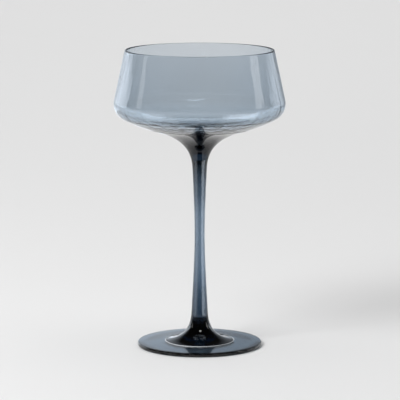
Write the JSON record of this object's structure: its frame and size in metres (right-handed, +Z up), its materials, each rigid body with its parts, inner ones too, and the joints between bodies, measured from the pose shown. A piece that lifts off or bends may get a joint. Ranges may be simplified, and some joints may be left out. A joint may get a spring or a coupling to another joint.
{
  "type": "cocktail glass",
  "caption": "Stemmed coupe cocktail glass: a wide bowl with a rounded shoulder and walls leaning in, on a solid flared stem and a flat round foot.",
  "frame": {"origin": "centre of the standing face, on the glass's axis", "axes": "+Z up along the axis from the foot to the rim; X and Y are free, as the glass is round"},
  "size_m": [0.1056, 0.1056, 0.1844],
  "materials": {
    "bowl_glass": "clear blown glass with a smoky blue tint, polished by fire, faint vertical ripples",
    "stem_glass": "solid drawn glass with a deep smoky blue tint that reads near black where it flares, smooth and glossy",
    "foot_glass": "spun glass with a smoky blue tint, glossy, near black on its edge"
  },
  "bodies": {
    "root": {"bowl": "bowl_glass", "stem": "stem_glass", "foot": "foot_glass"}
  },
  "joints": []
}
